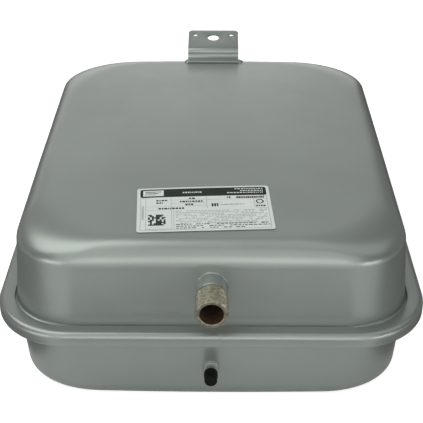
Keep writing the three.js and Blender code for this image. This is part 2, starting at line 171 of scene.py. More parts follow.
def outline(inset, corner, z, bow=0.0, scale=1.0, corner_steps=22, side_steps=26):
    """A rounded rectangle in plan whose corners are pulled in by `bow`, so that its sides swell outwards."""
    half_x, half_y = HALF_X - inset, HALF_Y - inset
    points = []
    for quarter, (side_x, side_y) in enumerate([(1, 1), (-1, 1), (-1, -1), (1, -1)]):
        angles = (quarter + np.linspace(0, 1, corner_steps + 1)) * math.pi / 2
        arc_x = side_x * (half_x - corner) + corner * np.cos(angles)
        arc_y = side_y * (half_y - corner) + corner * np.sin(angles)
        points.append(np.stack([arc_x, arc_y], 1))
    plain = []
    for quarter in range(4):
        plain.append(points[quarter])
        start, end = points[quarter][-1], points[(quarter + 1) % 4][0]
        inner = np.linspace(0, 1, side_steps + 1)[1:-1, None]
        plain.append(start + (end - start) * inner)
    plain = np.concatenate(plain)
    x, y = plain[:, 0], plain[:, 1]
    across_x, across_y = np.abs(x) / half_x, np.abs(y) / half_y
    bowed_x = (x - bow * np.sign(x) * across_y**2 * across_x**4) * scale
    bowed_y = (y - bow * np.sign(y) * across_x**2 * across_y**4) * scale
    return np.stack([bowed_x, bowed_y, np.full(len(x), float(z))], 1)


# ---------------------------------------------------------------- materials


def material(name):
    made = bpy.data.materials.new(name)
    made.use_nodes = True
    tree = made.node_tree
    return made, tree, tree.nodes["Principled BSDF"]


def node(tree, kind, settings=None, inputs=None):
    made = tree.nodes.new(kind)
    for key, value in (settings or {}).items():
        setattr(made, key, value)
    for key, value in (inputs or {}).items():
        if isinstance(value, bpy.types.NodeSocket):
            tree.links.new(value, made.inputs[key])
        else:
            made.inputs[key].default_value = value
    return made


def place(tree):
    return node(tree, "ShaderNodeTexCoord").outputs["Object"]


def noise_value(tree, where, scale, detail=3.0, roughness=0.55):
    """Smooth noise with features about 1/scale metres across."""
    inputs = {"Vector": where, "Scale": scale, "Detail": detail, "Roughness": roughness}
    return node(tree, "ShaderNodeTexNoise", inputs=inputs).outputs["Fac"]


def remap(tree, value, low, high, to_low, to_high):
    inputs = {"Value": value, "From Min": low, "From Max": high, "To Min": to_low, "To Max": to_high}
    return node(tree, "ShaderNodeMapRange", {"clamp": True}, inputs).outputs["Result"]


def arithmetic(tree, operation, a, b):
    return node(tree, "ShaderNodeMath", {"operation": operation}, {0: a, 1: b}).outputs[0]


def mixed(tree, factor, a, b):
    made = node(tree, "ShaderNodeMix", {"data_type": "RGBA"})
    for key, value in ((0, factor), (6, a), (7, b)):
        if isinstance(value, bpy.types.NodeSocket):
            tree.links.new(value, made.inputs[key])
        else:
            made.inputs[key].default_value = value
    return made.outputs[2]


def edges(tree, low, high):
    """1 on outer edges, 0 on flat and hollow places."""
    return remap(tree, node(tree, "ShaderNodeNewGeometry").outputs["Pointiness"], low, high, 0, 1)


def bumped(tree, shader, heights):
    """Adds (height, strength, distance in metres) layers of relief to a shader."""
    normal = None
    for height, strength, distance in heights:
        inputs = {"Height": height, "Strength": strength, "Distance": distance}
        if normal is not None:
            inputs["Normal"] = normal
        normal = node(tree, "ShaderNodeBump", inputs=inputs).outputs["Normal"]
    tree.links.new(normal, shader.inputs["Normal"])


def colour(red, green, blue):
    return (red, green, blue, 1.0)


def speckled(name, base, spread, scale, metallic, roughness, relief, edge=None, specular=0.5):
    """A finish whose colour wanders by `spread` at `scale`, with worn edges and its own fine relief."""
    made, tree, shader = material(name)
    where = place(tree)
    light = colour(*[min(1, c * (1 + spread)) for c in base])
    dark = colour(*[c * (1 - spread) for c in base])
    tone = mixed(tree, remap(tree, noise_value(tree, where, scale), 0.3, 0.7, 0, 1), dark, light)
    if edge:
        broken = remap(tree, noise_value(tree, where, scale * 7), 0.4, 0.65, 0, 1)
        worn = arithmetic(tree, "MULTIPLY", edges(tree, 0.52, 0.6), broken)
        tone = mixed(tree, worn, tone, colour(*edge))
    tree.links.new(tone, shader.inputs["Base Color"])
    shader.inputs["Metallic"].default_value = metallic
    shader.inputs["Specular IOR Level"].default_value = specular
    low, high = roughness
    rough = remap(tree, noise_value(tree, where, scale * 3), 0.3, 0.7, low, high)
    tree.links.new(rough, shader.inputs["Roughness"])
    layers = [(noise_value(tree, where, size), strength, distance) for size, strength, distance in relief]
    bumped(tree, shader, layers)
    return made


PAINT_BASE = (0.283, 0.312, 0.288)


def paint_finish(tree, where):
    """Colour, roughness and relief of the grey enamel: slow drifts of tone, faint orange peel and flake."""
    drift = remap(tree, noise_value(tree, where, 7, 2), 0.35, 0.65, 0, 1)
    flake = remap(tree, noise_value(tree, where, 2600, 1), 0.35, 0.65, 0, 1)
    dark, light = [colour(*[c * k for c in PAINT_BASE]) for k in (0.955, 1.045)]
    tone = mixed(tree, drift, dark, light)
    tone = mixed(tree, arithmetic(tree, "MULTIPLY", flake, 0.02), tone, colour(0.42, 0.45, 0.43))
    broken = remap(tree, noise_value(tree, where, 160), 0.42, 0.6, 0, 0.6)
    worn = arithmetic(tree, "MULTIPLY", edges(tree, 0.62, 0.78), broken)
    tone = mixed(tree, worn, tone, colour(0.42, 0.45, 0.42))
    roughness = remap(tree, noise_value(tree, where, 45), 0.3, 0.7, 0.3, 0.35)
    orange_peel = (noise_value(tree, where, 240, 1), 0.02, 0.0002)
    waves = (noise_value(tree, where, 22, 1), 0.05, 0.004)
    relief = [orange_peel, waves]
    return tone, roughness, relief


def make_paint():
    made, tree, shader = material("grey_enamel_paint")
    tone, roughness, relief = paint_finish(tree, place(tree))
    tree.links.new(tone, shader.inputs["Base Color"])
    tree.links.new(roughness, shader.inputs["Roughness"])
    shader.inputs["Metallic"].default_value = 0.62
    bumped(tree, shader, relief)
    return made


PAINT = make_paint()
RUBBER = speckled(
    "diaphragm_rubber_matt", (0.018, 0.018, 0.018), 0.25, 60, 0, (0.68, 0.85), [(700, 0.2, 0.0003)]
)
SEAL = speckled("seal_rubber_smooth", (0.016, 0.016, 0.016), 0.2, 300, 0, (0.5, 0.65), [(2500, 0.15, 0.0001)])
BRASS = speckled(
    "turned_brass", (0.6, 0.44, 0.19), 0.12, 500, 1, (0.25, 0.38), [(4000, 0.1, 0.00005)],
    edge=(0.85, 0.7, 0.4),
)
SPRING = speckled("drawn_spring_wire", (0.55, 0.55, 0.53), 0.12, 700, 1, (0.22, 0.36), [(5000, 0.1, 0.00003)])
CAP = speckled(
    "moulded_black_plastic", (0.0055, 0.006, 0.0055), 0.25, 220, 0, (0.42, 0.6), [(2600, 0.12, 0.0001)],
    edge=(0.02, 0.022, 0.02), specular=0.08,
)
FILM = speckled("label_film_white", (0.66, 0.71, 0.68), 0.02, 30, 0, (0.36, 0.46), [(500, 0.04, 0.0002)])
INK = speckled(
    "label_ink_dark", (0.018, 0.025, 0.02), 0.2, 60, 0, (0.55, 0.7), [(900, 0.05, 0.0001)], specular=0.18
)
GREY_INK = speckled("label_ink_grey", (0.34, 0.37, 0.35), 0.12, 200, 0, (0.4, 0.5), [(900, 0.05, 0.0001)])
# Very dark brown for the inside of the nipple's bore.
CORE = speckled(
    "bore_dark_brown", (0.06, 0.036, 0.018), 0.35, 260, 0.1, (0.6, 0.85), [(900, 0.5, 0.0004)], specular=0.3
)


# ---------------------------------------------------------------- shells


def crown_height(shell, x, y):
    """Rise of the domed end, which runs out level at the edge of the flat end."""
    inset = WALL_INSET + WALL_DRAFT + shell["shoulder"]
    across_x = np.minimum(np.abs(x) / (HALF_X - inset), 1)
    across_y = np.minimum(np.abs(y) / (HALF_Y - inset), 1)
    return shell["crown"] * ((1 - across_x**2) * (1 - across_y**2)) ** 1.15


def shoulder_start(shell):
    return RING_HALF_HEIGHT + shell["depth"] - shell["shoulder"]


def end_loops(shell, within, margin=0.0, steps=22, scales=()):
    """The shoulder and the end of a shell, from the middle out, `within` millimetres inside its outer face."""
    radius = shell["shoulder"] - within

    def section(turn, scale):
        part = 1 - math.cos(turn)
        loop = outline(
            WALL_INSET + WALL_DRAFT + within + radius * part + margin,
            WALL_CORNER + (shell["corner"] - WALL_CORNER) * part,
            shoulder_start(shell) + radius * math.sin(turn),
            shell["bow"] * part,
            scale,
        )
        loop[:, 2] += crown_height(shell, loop[:, 0], loop[:, 1]) * math.sin(turn)
        return loop

    loops = [section(math.pi / 2, scale) for scale in scales]
    return loops + [section(turn, 1) for turn in np.linspace(math.pi / 2, 0, steps + 1)]


def root_loops(within):
    """The bend from the wall's foot out into the flange."""
    radius = ROOT_RADIUS + within
    loops = []
    for turn in np.linspace(math.pi / 2, 0, 7):
        inset = WALL_INSET - ROOT_RADIUS + radius * math.sin(turn)
        loops.append(outline(inset, WALL_CORNER + 1, FLANGE_TOP + ROOT_RADIUS - radius * math.cos(turn)))
    return loops


def wall_loops(shell, within):
    """Rings up the wall between root and shoulder, so that the wall can carry its own faint unevenness."""
    top, foot = end_loops(shell, within, steps=1)[-1], root_loops(within)[0]
    return [top + (foot - top) * t for t in np.linspace(0, 1, 9)[1:-1]]


def uneven(points, size, amount):
    """How far each point lies below the ideal surface: slow waves left by the press."""
    return amount * np.array([0.5 + 0.5 * noise.noise(Vector(p) / size) for p in points])


def shell_skin(name, shell, node_names):
    scales = [0.06, 0.14, 0.22, 0.3, 0.38, 0.46, 0.54, 0.62, 0.7, 0.77, 0.83, 0.88, 0.92, 0.955, 0.98]
    loops = end_loops(shell, 0, scales=scales)
    loops += wall_loops(shell, 0) + root_loops(0)
    loops.append(outline(FLANGE_INSET, RING_CORNER - FLANGE_INSET, FLANGE_TOP))
    lining = end_loops(shell, SHEET, scales=scales) + wall_loops(shell, SHEET) + root_loops(SHEET)
    lining.append(outline(FLANGE_INSET, RING_CORNER - FLANGE_INSET, FLANGE_TOP - SHEET))
    skin = np.concatenate(loops)
    dip = uneven(skin, 70, 0.28)
    outward = skin / np.linalg.norm(skin, axis=1)[:, None]
    skin = skin - outward * dip[:, None] * np.clip((skin[:, 2:3] - FLANGE_TOP - 2) / 15, 0, 1)
    rows = len(loops) + len(lining)
    count = len(loops[0])
    points = np.concatenate([skin, *lining[::-1]])
    top = RING_HALF_HEIGHT + shell["depth"] + shell["crown"]
    dip_top = uneven(np.array([[0, 0, top]]), 70, 0.28)[0]
    points = np.concatenate([points, [[0, 0, top - dip_top], [0, 0, top - SHEET]]])
    faces = bands(rows, count, closed=False)
    apex = rows * count
    last = (rows - 1) * count
    for step in range(count):
        after = (step + 1) % count
        faces.append((apex, step, after))
        faces.append((apex + 1, last + after, last + step))
    if shell["up"] < 0:
        points = points * [1, -1, -1]
    points[:, 2] += JOINT_Z
    return new_piece(name, points, faces, PAINT, "vessel", node_names, crease=35)


def wall_y(shell, height):
    """Y of a shell's front wall at a height from the joint plane."""
    start = FLANGE_TOP + ROOT_RADIUS
    along = (abs(height) - start) / (shoulder_start(shell) - start)
    return -HALF_Y + WALL_INSET + WALL_DRAFT * along


def fitting(node_name, shell):
    """Where a fitting's axis meets the outer face of the front wall."""
    low, high = cad(node_name)
    x, z = (low[0] + high[0]) / 2, (low[2] + high[2]) / 2
    return np.array([x, wall_y(shell, z - JOINT_Z), z])


NIPPLE_AT = fitting("water_nipple", WATER)
VALVE_AT = fitting("valve_body", GAS)


def hoop(at, radius, along, angles):
    """A ring of points about a fitting's axis, `along` millimetres out from the wall."""
    across, up = radius * np.cos(angles), radius * np.sin(angles)
    return np.stack([at[0] + across, np.full(len(angles), at[1] - along), at[2] + up], 1)


def turned(name, profile, at, materials, body, replaces=(), segments=72, inner=None, crease=40):
    """A piece turned about an axis along -Y from (radius, distance out from the wall) points.

    Faces inside radius `inner` take the second material.
    """
    angles = np.linspace(0, TWO_PI, segments, endpoint=False)
    profile = np.asarray(profile, float)
    points = np.concatenate([hoop(at, radius, along, angles) for radius, along in profile])
    faces = bands(len(profile), segments, closed=True)
    picked = None
    if inner is not None:
        is_inner = np.maximum(profile[:, 0], np.roll(profile[:, 0], -1)) < inner
        picked = [int(is_inner[index // segments]) for index in range(len(faces))]
    return new_piece(name, points, faces, materials, body, replaces, crease, picked)


def wall_hole(shell_piece, radius, at):
    tool = turned("hole_tool", [(radius, -8), (radius, 8), (0.01, 8), (0.01, -8)], at, PAINT, None)
    boolean(shell_piece, tool)
    smooth(shell_piece, 35)


water_skin = shell_skin("water_shell_skin", WATER, ["water_shell", "water_flange"])
gas_skin = shell_skin("gas_shell_skin", GAS, ["gas_shell", "gas_flange"])
wall_hole(water_skin, 12.8, NIPPLE_AT)
wall_hole(gas_skin, 4.8, VALVE_AT)


# ---------------------------------------------------------------- clench ring


def ring_bend(side, within, steps):
    """A bend of the ring's section as (inset, height) points."""
    radius = RING_TOP_RADIUS if side > 0 else RING_BOTTOM_RADIUS
    height = side * (RING_HALF_HEIGHT - radius)
    reach = radius - within
    turns = np.linspace(0, math.pi / 2, steps + 1)
    points = [(radius - reach * math.sin(t), height + side * reach * math.cos(t)) for t in turns]
    return points if side > 0 else points[::-1]


def ring_face(within):
    lip = RING_HALF_HEIGHT - RING_LIP_DROP - within
    return [(RING_LIP, lip), *ring_bend(1, within, 10), *ring_bend(-1, within, 6), (RING_LIP, -lip)]


def ring_piece():
    section = rounded([*ring_face(0), *ring_face(SHEET)[::-1]], 0.5, steps=3, closed=True, sharpest=40)
    loops = [outline(inset, RING_CORNER - inset, z, corner_steps=30, side_steps=40) for inset, z in section]
    count = len(loops[0])
    points = np.concatenate(loops)
    # The rolled ring isn't quite true: it wanders in and down a little along its run,
    # and pulls in beside its closing weld.
    run = np.tile(loops[0], (len(loops), 1)) * [1, 1, 0]
    wander = np.array([noise.noise(Vector(p) / 55) for p in run])
    beside = np.exp(-(((points[:, 0] - SEAM_X) / 7) ** 2)) * (points[:, 1] < 0)
    drop = 0.14 * (1 + wander) + 0.35 * beside * (points[:, 0] > SEAM_X)
    apart = Vector((9, 4, 2))
    inward = np.array([0.12 * (1 + noise.noise(Vector(p) / 40 + apart)) for p in run]) + 0.25 * beside
    plan = points[:, :2] / np.linalg.norm(points[:, :2], axis=1)[:, None]
    points[:, :2] -= plan * inward[:, None]
    points[:, 2] -= drop * (points[:, 2] > -RING_HALF_HEIGHT + 1.5)
    points[:, 2] += JOINT_Z
    faces = bands(len(loops), count, closed=True)
    return new_piece("clench_ring_rolled", points, faces, PAINT, "vessel", ["clench_ring"], crease=50)


SEAM_LOW, SEAM_HIGH = cad("clench_ring_weld")
SEAM_X = (SEAM_LOW[0] + SEAM_HIGH[0]) / 2
SEAM_HALF = (SEAM_HIGH[0] - SEAM_LOW[0]) / 2


def seam_piece():
    """The closing weld: a thin dressed bead over the ring's face, with its ripples."""
    run = np.array(ring_bend(1, 0, 12)[2:] + ring_bend(-1, 0, 8))
    tangent = np.gradient(run, axis=0)
    away = np.stack([tangent[:, 1], -tangent[:, 0]], 1)
    away /= np.linalg.norm(away, axis=1)[:, None]
    across = np.linspace(-1, 1, 15)
    points = []
    for index, (inset, z) in enumerate(run):
        for t in across:
            ripple = 0.06 * math.sin(index * 1.9 + 2.2 * t * t)
            height = (0.36 + ripple) * (1 - t * t) ** 0.8 - 0.25
            edge = 0.18 * noise.noise(Vector((index * 0.5, 3 * t, 0)))
            moved = np.array([inset, z]) + away[index] * height
            points.append((SEAM_X + SEAM_HALF * (t + edge * t * t), -HALF_Y + moved[0], moved[1] + JOINT_Z))
    count = len(across)
    faces = []
    for row in range(len(run) - 1):
        for step in range(count - 1):
            a = row * count + step
            faces.append((a, a + 1, a + count + 1, a + count))
    return new_piece("ring_seam_bead", points, faces, PAINT, "vessel", ["clench_ring_weld"])


ring_piece()
seam_piece()


# ---------------------------------------------------------------- diaphragm


def skirt_piece():
    """The rolling wall of the diaphragm, clamped at its bead and carried by the crown at its top."""

    def face(within, bead_z):
        wall = SHEET + 0.8 + within
        shoulder = end_loops(WATER, wall, steps=8)
        foot = outline(WALL_INSET + wall + 0.4, WALL_CORNER, FLANGE_TOP + 6)
        rises = [shoulder[-1] + (foot - shoulder[-1]) * t for t in np.linspace(0, 1, 14)[1:]]
        return [*shoulder, *rises, outline(WALL_INSET + wall - 0.2, WALL_CORNER, bead_z)]

    bead = rounded([(11, 1), (9.5, 2), (4, 2), (2.6, 0), (4, -2), (9.5, -2)], 0.8, 3)
    loops = [*face(0, 1), *[outline(inset, RING_CORNER - inset, z) for inset, z in bead], *face(2, -1)[::-1]]
    points = np.concatenate(loops)
    points[:, 2] += JOINT_Z
    faces = bands(len(loops), len(loops[0]), closed=True)
    piece = new_piece(
        "diaphragm_rolling_skirt", points, faces, RUBBER, None, ["diaphragm_skirt"]
    )
    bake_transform(piece)
    return piece


def crown_piece():
    """The diaphragm's flat middle, with the low moulded ribs that keep water moving behind it."""
    scales = np.linspace(0.04, 1, 26)
    margin = 4

    def face(within, ribbed):
        loops = end_loops(WATER, SHEET + 0.8 + within, margin=margin, steps=0, scales=scales)[: len(scales)]
        if ribbed:
            for scale, loop in zip(scales, loops):
                loop[:, 2] -= 0.25 * (0.5 + 0.5 * math.cos(scale * 60)) * (scale < 0.96)
        return loops

    loops = [*face(0, True), *face(2, False)[::-1]]
    count = len(loops[0])
    top = RING_HALF_HEIGHT + WATER["depth"] + WATER["crown"] - SHEET - 0.8
    points = np.concatenate([*loops, [[0, 0, top - 0.2], [0, 0, top - 2]]])
    points[:, 2] += JOINT_Z
    faces = bands(len(loops), count, closed=False)
    apex, last = len(loops) * count, (len(loops) - 1) * count
    for step in range(count):
        after = (step + 1) % count
        faces.append((apex, step, after))
        faces.append((apex + 1, last + after, last + step))
    return new_piece(
        "diaphragm_moulded_crown", points, faces, RUBBER, "diaphragm", ["diaphragm_crown"]
    )


skirt_piece()
crown_piece()


# ---------------------------------------------------------------- water nipple

NIPPLE = {
    "crest": 13.2, "root": 12.1, "shank": 12.5, "bore": 9.35, "reach": 38, "threaded": 23.3, "inside": 1.1,
}
THREAD_PITCH = 1.814


def make_zinc():
    """Yellowish zinc plate, dulled in blotches, under the vessel's paint where the nipple leaves the wall."""
    made, tree, shader = material("zinc_plate_part_painted")
    where = place(tree)
    blotch = remap(tree, noise_value(tree, where, 420, 4), 0.35, 0.65, 0, 1)
    pits = remap(tree, noise_value(tree, where, 900, 2), 0.6, 0.72, 0, 1)
    tone = mixed(tree, blotch, colour(0.185, 0.175, 0.125), colour(0.34, 0.33, 0.255))
    tone = mixed(tree, arithmetic(tree, "MULTIPLY", pits, 0.55), tone, colour(0.1, 0.08, 0.055))
    worn = arithmetic(tree, "MULTIPLY", edges(tree, 0.54, 0.64), 0.45)
    tone = mixed(tree, worn, tone, colour(0.6, 0.57, 0.47))
    paint_tone, paint_rough, _ = paint_finish(tree, where)
    along = node(tree, "ShaderNodeSeparateXYZ", inputs={"Vector": where}).outputs["Y"]
    uneven_edge = arithmetic(tree, "SUBTRACT", noise_value(tree, where, 260), 0.5)
    ragged = arithmetic(tree, "MULTIPLY", uneven_edge, 0.0022)
    line = (NIPPLE_AT[1] - (NIPPLE["reach"] - NIPPLE["threaded"]) + 0.4) * MM
    painted = remap(tree, arithmetic(tree, "ADD", along, ragged), line - 0.0003, line + 0.0003, 0, 1)
    tree.links.new(mixed(tree, painted, tone, paint_tone), shader.inputs["Base Color"])
    rough = remap(tree, noise_value(tree, where, 500), 0.3, 0.7, 0.3, 0.5)
    both = node(tree, "ShaderNodeMix", {"data_type": "FLOAT"}, {0: painted, 2: rough, 3: paint_rough})
    tree.links.new(both.outputs[0], shader.inputs["Roughness"])
    tree.links.new(remap(tree, painted, 0, 1, 0.95, 0.62), shader.inputs["Metallic"])
    bumped(tree, shader, [(noise_value(tree, where, 1300, 3), 0.18, 0.00012)])
    return made


ZINC = make_zinc()


def nipple_piece():
    """The nipple with a true helical thread that runs out at both ends."""
    crest, root, shank, bore = (NIPPLE[k] for k in ("crest", "root", "shank", "bore"))
    reach, inside = NIPPLE["reach"], NIPPLE["inside"]
    start = reach - NIPPLE["threaded"]
    segments = 96
    angles = np.linspace(0, TWO_PI, segments, endpoint=False)
    rings = [(bore, -inside), (shank, -inside), (shank, 2), (shank, start - 1.6)]
    rings += [(shank - 0.1 * k**2, start - 1.6 + 0.35 * k) for k in (1, 2)]
    spread = np.arange(start - 0.6, reach - 0.9, THREAD_PITCH / 9)
    mouth = [(crest - 0.35, reach - 0.9), (crest - 1.15, reach), (bore + 0.5, reach), (bore, reach - 0.5)]
    ending = rounded([*mouth, (bore, reach - 6), (bore, -inside)], 0.35, 3)
    points = []
    for radius, along in rings:
        points.append(hoop(NIPPLE_AT, radius, along, angles))
    for along in spread:
        phase = (along / THREAD_PITCH - angles / TWO_PI) % 1
        ridge = np.clip(1.35 - 2.7 * np.abs(phase - 0.5) * 1.15, 0, 1)
        ridge = ridge * ridge * (3 - 2 * ridge)
        fade_in = np.clip((along - start - 0.2) / 3.0, 0, 1)
        fade_out = np.clip((reach - 0.5 - along) / 1.6, 0, 1)
        radius = root + (crest - root) * ridge
        radius = radius * fade_in + (root + 0.15) * (1 - fade_in)
        radius = np.minimum(radius, crest - 0.4 + 0.4 * fade_out)
        points.append(hoop(NIPPLE_AT, radius, along, angles))
    for radius, along in ending:
        points.append(hoop(NIPPLE_AT, radius, along, angles))
    rows = len(points)
    faces = bands(rows, segments, closed=True)
    all_points = np.concatenate(points)
    radial = np.hypot(all_points[:, 0] - NIPPLE_AT[0], all_points[:, 2] - NIPPLE_AT[2])
    picked = [int(all(radial[i] < bore + 0.05 for i in face)) for face in faces]
    return new_piece(
        "threaded_nipple", all_points, faces, [ZINC, CORE], "vessel", ["water_nipple"],
        50, picked,
    )


def fillet_weld(name, inner, width, height, shell, at, node_name, ripples):
    """A weld fillet round a fitting: it follows the leaning wall, and its bead is rippled."""
    segments = 144
    points = []
    bead = [(0, 1), (0.12, 1), (0.3, 0.9), (0.5, 0.7), (0.7, 0.45), (0.88, 0.18)]
    profile = [(part, height * share) for part, share in bead] + [(1, -0.15), (1, -0.6), (0, -0.6)]
    for part, rise in profile:
        for step in range(segments):
            angle = TWO_PI * step / segments
            direction = Vector((math.cos(angle), math.sin(angle), 0))
            swell = 1 + 0.1 * math.sin(ripples * angle + 1.3 * math.sin(3 * angle))
            swell += 0.25 * noise.noise(direction * 2.3)
            radius = inner + width * part * (0.85 + 0.15 * swell)
            lift = rise * (0.8 + 0.2 * swell) if rise > 0 else rise
            place_z = at[2] + radius * math.sin(angle)
            place_y = wall_y(shell, place_z - JOINT_Z) - lift
            points.append((at[0] + radius * math.cos(angle), place_y, place_z))
    faces = bands(len(profile), segments, closed=True)
    return new_piece(name, points, faces, PAINT, "vessel", [node_name], 60)


nipple_piece()
fillet_weld("nipple_fillet_weld", NIPPLE["shank"] - 0.1, 1.0, 0.85, WATER, NIPPLE_AT, "nipple_weld", 44)


# ---------------------------------------------------------------- charging valve

VALVE = {"foot": 6.4, "thick": 1.8, "stem": 3.85, "end": 14.7, "bore": 2.6, "spigot": 4.5, "back": 0.8}


def valve_thread():
    """Points of the stem's fine thread."""
    points = []
    along = VALVE["back"] + VALVE["thick"] + 3.4
    while along < VALVE["end"] - 1.6:
        points += [(VALVE["stem"] - 0.32, along), (VALVE["stem"], along + 0.26), (VALVE["stem"], along + 0.5)]
        along += 0.794
    return points


valve_profile = [
    (VALVE["bore"], 1.5),
    (1.5, 0.5),
    (1.5, -2.5),
    (VALVE["spigot"], -2.5),
    (VALVE["spigot"], VALVE["back"]),
    (VALVE["foot"], VALVE["back"]),
    (VALVE["foot"], VALVE["back"] + VALVE["thick"] * 0.4),
    (VALVE["foot"] - 0.25, VALVE["back"] + VALVE["thick"] * 0.75),
    (VALVE["foot"] - 0.9, VALVE["back"] + VALVE["thick"]),
    (VALVE["stem"] + 0.5, VALVE["back"] + VALVE["thick"]),
    (VALVE["stem"], VALVE["back"] + VALVE["thick"] + 0.8),
    *valve_thread(),
    (VALVE["stem"] - 0.1, VALVE["end"] - 0.9),
    (VALVE["stem"] - 0.7, VALVE["end"]),
    (VALVE["bore"], VALVE["end"]),
]
turned(
    "valve_boss_and_stem",
    rounded(valve_profile, 0.42, 4, closed=True, sharpest=35),
    VALVE_AT, [PAINT, BRASS], "vessel", ["valve_body"], inner=VALVE["bore"] + 0.1,
)
fillet_weld("valve_fillet_weld", VALVE["foot"] - 0.1, 0.9, 0.85, GAS, VALVE_AT, "valve_weld", 26)


def core_part(name, profile, radius, finish, body, replaced):
    """A small turned part of the valve: its core, or the disc in its cap."""
    turned(name, rounded(profile, radius, 3, closed=True), VALVE_AT, finish, body, [replaced], 48)


HOUSING = [
    (0.85, 5.5), (1.9, 5.5), (2.25, 6.4), (2.25, 7.9), (1.8, 7.9), (1.8, 9.6),
    (2.3, 9.6), (2.3, 13.9), (1.75, 13.9), (1.75, 9.9), (0.85, 9.9),
]
GASKET = [(1.95, 8), (2.45, 8.3), (2.45, 9.2), (1.95, 9.5)]
PIN = [
    (0.01, 3.7), (1.6, 3.7), (1.6, 4.4), (0.5, 4.4), (0.5, 13.1),
    (1.3, 13.1), (1.3, 13.5), (0.5, 13.5), (0.5, 14.4), (0.01, 14.4),
]
POPPET = [(0.7, 4.6), (1.65, 4.6), (1.65, 5.2), (0.7, 5.2)]
core_part("core_housing", HOUSING, 0.15, BRASS, "vessel", "valve_core_housing")
core_part("core_gasket", GASKET, 0.2, SEAL, "vessel", "valve_core_gasket")
core_part("core_pin", PIN, 0.12, BRASS, "valve_pin", "valve_core_pin")
core_part("core_seal", POPPET, 0.12, SEAL, "valve_pin", "valve_core_seal")


def spring_piece():
    """The core's return spring: round wire in four turns, which shortens as the pin is pressed."""
    radius, wire, turns, low, high = 1.12, 0.17, 4, 10.25, 12.75
    steps, sides = 96, 8
    points = []
    for step in range(steps + 1):
        t = step / steps
        angle = t * turns * TWO_PI
        for side in range(sides):
            around = TWO_PI * side / sides
            r = radius + wire * math.cos(around)
            y = VALVE_AT[1] - (low + (high - low) * t) - wire * math.sin(around)
            points.append((VALVE_AT[0] + r * math.cos(angle), y, VALVE_AT[2] + r * math.sin(angle)))
    faces = bands(steps + 1, sides, closed=False)
    faces += [tuple(range(sides))[::-1], tuple(range(steps * sides, (steps + 1) * sides))]
    piece = new_piece("core_spring", points, faces, SPRING, "vessel", ["valve_core_spring"], 60)
    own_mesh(piece)
    return piece


spring_piece()

CAP_SHAPE = {"radius": 5.75, "tip": 5.25, "start": 8, "end": 19.1, "bore": 4.2, "wall": 2.4}


def cap_piece():
    """The valve cap: a finely ribbed grip, a narrower tip and a plain face with one raised ring."""
    c = CAP_SHAPE
    segments = 120
    start, end = c["start"], c["end"]
    grip = [(c["radius"], start), (c["radius"], start + 5)]
    tip = [(c["tip"], start + 5.4), (c["tip"], end - 0.7), (c["tip"] - 0.7, end)]
    outer = [*grip, *tip]
    face = [(3.4, end), (3.2, end - 0.25), (2.3, end - 0.25), (2.1, end), (0.02, end)]
    hollow = [(0.02, end - c["wall"]), (c["bore"], end - c["wall"]), (c["bore"], start)]
    profile = rounded([*outer, *face, *hollow], 0.3, 4, closed=True, sharpest=25)
    points = []
    for radius, along in profile:
        for step in range(segments):
            angle = TWO_PI * step / segments
            on_grip = start + 0.5 < along < start + 5.1 and radius > c["bore"] + 0.4
            rib = 0.1 * (0.5 - 0.5 * math.cos(40 * angle)) if on_grip else 0.0
            r = radius - rib
            across, up = r * math.cos(angle), r * math.sin(angle)
            points.append((VALVE_AT[0] + across, VALVE_AT[1] - along, VALVE_AT[2] + up))
    faces = bands(len(profile), segments, closed=True)
    return new_piece("valve_cap_moulded", points, faces, CAP, "cap", ["valve_cap"], 50)


cap_piece()
DISC_FRONT, DISC_BACK, DISC_RADIUS = VALVE["end"] + GAP, 16.5, VALVE["stem"]
DISC = [(0.02, DISC_FRONT), (DISC_RADIUS, DISC_FRONT), (DISC_RADIUS, DISC_BACK), (0.02, DISC_BACK)]
core_part("cap_gasket_disc", DISC, 0.12, SEAL, "cap_seal", "valve_cap_gasket")


# ---------------------------------------------------------------- hanging bracket

BRACKET = {
    "x": -0.6, "width": 55.6, "sheet": 1.6, "front": 178.5, "foot": 14, "rise": 9.8,
    "tab": 36.8, "tilt": math.radians(10), "bend": 5, "corner": 4.4,
}
FOOT_Z = cad("mounting_bracket")[0][2] + BRACKET["sheet"] / 2


def bracket_run(steps=10):
    """The middle of the strap's sheet, foot to tab's end, as (y, z, normal y, normal z)."""
    b = BRACKET
    mid = b["bend"] - b["sheet"] / 2
    lift = b["rise"] - 2 * mid
    run = [(0, 0, 0, 1)]
    for y, z, start, end in [
        (b["foot"] - mid, mid, -math.pi / 2, 0),
        (b["foot"] + mid, mid + lift, math.pi, math.pi / 2 + b["tilt"]),
    ]:
        way = math.copysign(1, end - start)
        for turn in np.linspace(start, end, steps + 1):
            cos, sin = math.cos(turn), math.sin(turn)
            run.append((y + mid * cos, z + mid * sin, -way * cos, -way * sin))
    y, z, ny, nz = run[-1]
    run.append((y + b["tab"] * math.cos(b["tilt"]), z + b["tab"] * math.sin(b["tilt"]), ny, nz))
    return np.array(run)


def prism(name, plan, low, high):
    """An upright prism over a plan of (x, y) points, for cutting."""
    count = len(plan)
    points = [(x, y, low) for x, y in plan] + [(x, y, high) for x, y in plan]
    faces = [tuple(range(count))[::-1], tuple(range(count, 2 * count))]
    faces += [(i, (i + 1) % count, count + (i + 1) % count, count + i) for i in range(count)]
    return new_piece(name, points, faces, PAINT, None)


